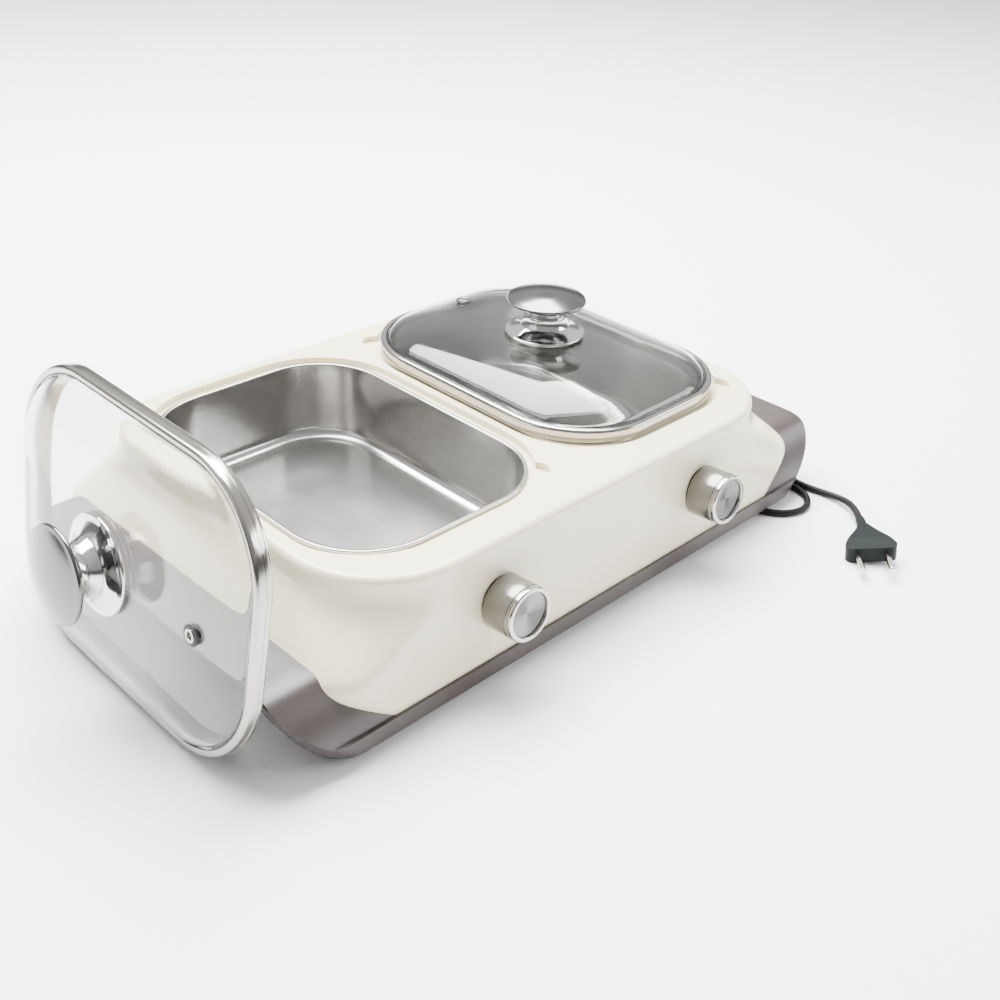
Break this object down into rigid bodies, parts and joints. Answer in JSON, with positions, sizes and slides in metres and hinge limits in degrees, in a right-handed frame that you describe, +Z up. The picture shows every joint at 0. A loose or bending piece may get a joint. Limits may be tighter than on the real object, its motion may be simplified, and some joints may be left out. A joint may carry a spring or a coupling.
{
  "type": "electric buffet server",
  "caption": "Countertop electric buffet server: moulded housing with end wings, lift-out steel pans in heated wells, domed glass lids, turning control knobs and a mains lead.",
  "frame": {"origin": "on the table, under the middle of the body, in the plane of the feet", "axes": "+Z up, +X to the right seen from the control knobs, -Y to the front where the knobs are"},
  "size_m": [0.5495, 0.4726, 0.1719],
  "materials": {
    "ivory_plastic": "glossy moulded ivory",
    "taupe_plastic": "satin moulded taupe grey",
    "galvanised_sheet": "plain plated sheet",
    "dark_rubber": "dull rubber",
    "plated_screw": "plated steel",
    "ceramic": "pale ceramic",
    "black_cord": "flexible black sheath",
    "wire_cover": "insulated wire",
    "black_plug": "moulded black plastic",
    "nickel_pin": "nickel-plated pin",
    "liner_aluminium": "plain aluminium sheet",
    "element_steel": "dull steel",
    "insulation": "glass-fibre mat",
    "thermostat_case": "moulded case",
    "pan_steel": "bright satin stainless steel",
    "knob_grey": "silver-grey gloss",
    "bright_ring": "bright chrome",
    "spun_face": "circular-brushed",
    "lid_glass": "clear toughened glass",
    "lid_band": "polished stainless band",
    "lid_knob_steel": "satin stainless"
  },
  "bodies": {
    "server": {"base_tray": "taupe_plastic", "upper_housing": "ivory_plastic", "bottom_plate": "galvanised_sheet", "rubber_feet": "dark_rubber", "bottom_screws": "plated_screw", "element_bushings": "ceramic", "terminal_block": "ceramic", "thermal_fuse": "plated_screw", "internal_lead": "black_cord", "internal_wiring": "wire_cover", "cord_gland": "black_plug", "cord_tail": "black_cord", "cord_coil": "black_cord", "cord_lead": "black_cord", "plug_body": "black_plug", "plug_pins": "nickel_pin", "well_liner_left": "liner_aluminium", "heating_element_left": "element_steel", "insulation_pad_left": "insulation", "thermostat_left": "thermostat_case", "thermostat_nut_left": "plated_screw", "knob_bezel_left": "black_plug", "well_liner_right": "liner_aluminium", "heating_element_right": "element_steel", "insulation_pad_right": "insulation", "thermostat_right": "thermostat_case", "thermostat_nut_right": "plated_screw", "knob_bezel_right": "black_plug"},
    "control_knob_left": {"knob_body_left": "knob_grey", "knob_ring_left": "bright_ring", "knob_dish_left": "spun_face", "knob_shaft_left": "element_steel"},
    "control_knob_right": {"knob_body_right": "knob_grey", "knob_ring_right": "bright_ring", "knob_dish_right": "spun_face", "knob_shaft_right": "element_steel"},
    "pan_left": {"pan_left": "pan_steel"},
    "pan_right": {"pan_right": "pan_steel"},
    "lid_right": {"lid_glass_right": "lid_glass", "lid_rim_right": "lid_band", "lid_knob_washer_right": "dark_rubber", "lid_knob_flange_right": "lid_knob_steel", "lid_knob_neck_right": "lid_knob_steel", "lid_knob_cap_right": "lid_knob_steel", "lid_knob_screw_right": "plated_screw", "lid_vent_grommet_right": "dark_rubber", "lid_vent_eyelet_right": "bright_ring"},
    "lid_left": {"lid_glass_left": "lid_glass", "lid_rim_left": "lid_band", "lid_knob_washer_left": "dark_rubber", "lid_knob_flange_left": "lid_knob_steel", "lid_knob_neck_left": "lid_knob_steel", "lid_knob_cap_left": "lid_knob_steel", "lid_knob_screw_left": "plated_screw", "lid_vent_grommet_left": "dark_rubber", "lid_vent_eyelet_left": "bright_ring"}
  },
  "joints": [
    {"name": "turn_knob_left", "type": "hinge", "parent": "server", "child": "control_knob_left", "pos_m": [-0.0934, -0.1404, 0.0531], "axis": [0, -0.9962, 0.0872], "range_deg": [-270, 0]},
    {"name": "turn_knob_right", "type": "hinge", "parent": "server", "child": "control_knob_right", "pos_m": [0.0934, -0.1404, 0.0531], "axis": [0, -0.9962, 0.0872], "range_deg": [-270, 0]},
    {"name": "lift_pan_left", "type": "slide", "parent": "server", "child": "pan_left", "axis": [0, 0, 1], "range_m": [0, 0.09]},
    {"name": "lift_pan_right", "type": "slide", "parent": "server", "child": "pan_right", "axis": [0, 0, 1], "range_m": [0, 0.09]},
    {"name": "lift_lid_right", "type": "slide", "parent": "pan_right", "child": "lid_right", "axis": [0, 0, 1], "range_m": [0, 0.06]},
    {"name": "lift_lid_left", "type": "slide", "parent": "server", "child": "lid_left", "axis": [0, 0, 1], "range_m": [0, 0.1]}
  ]
}
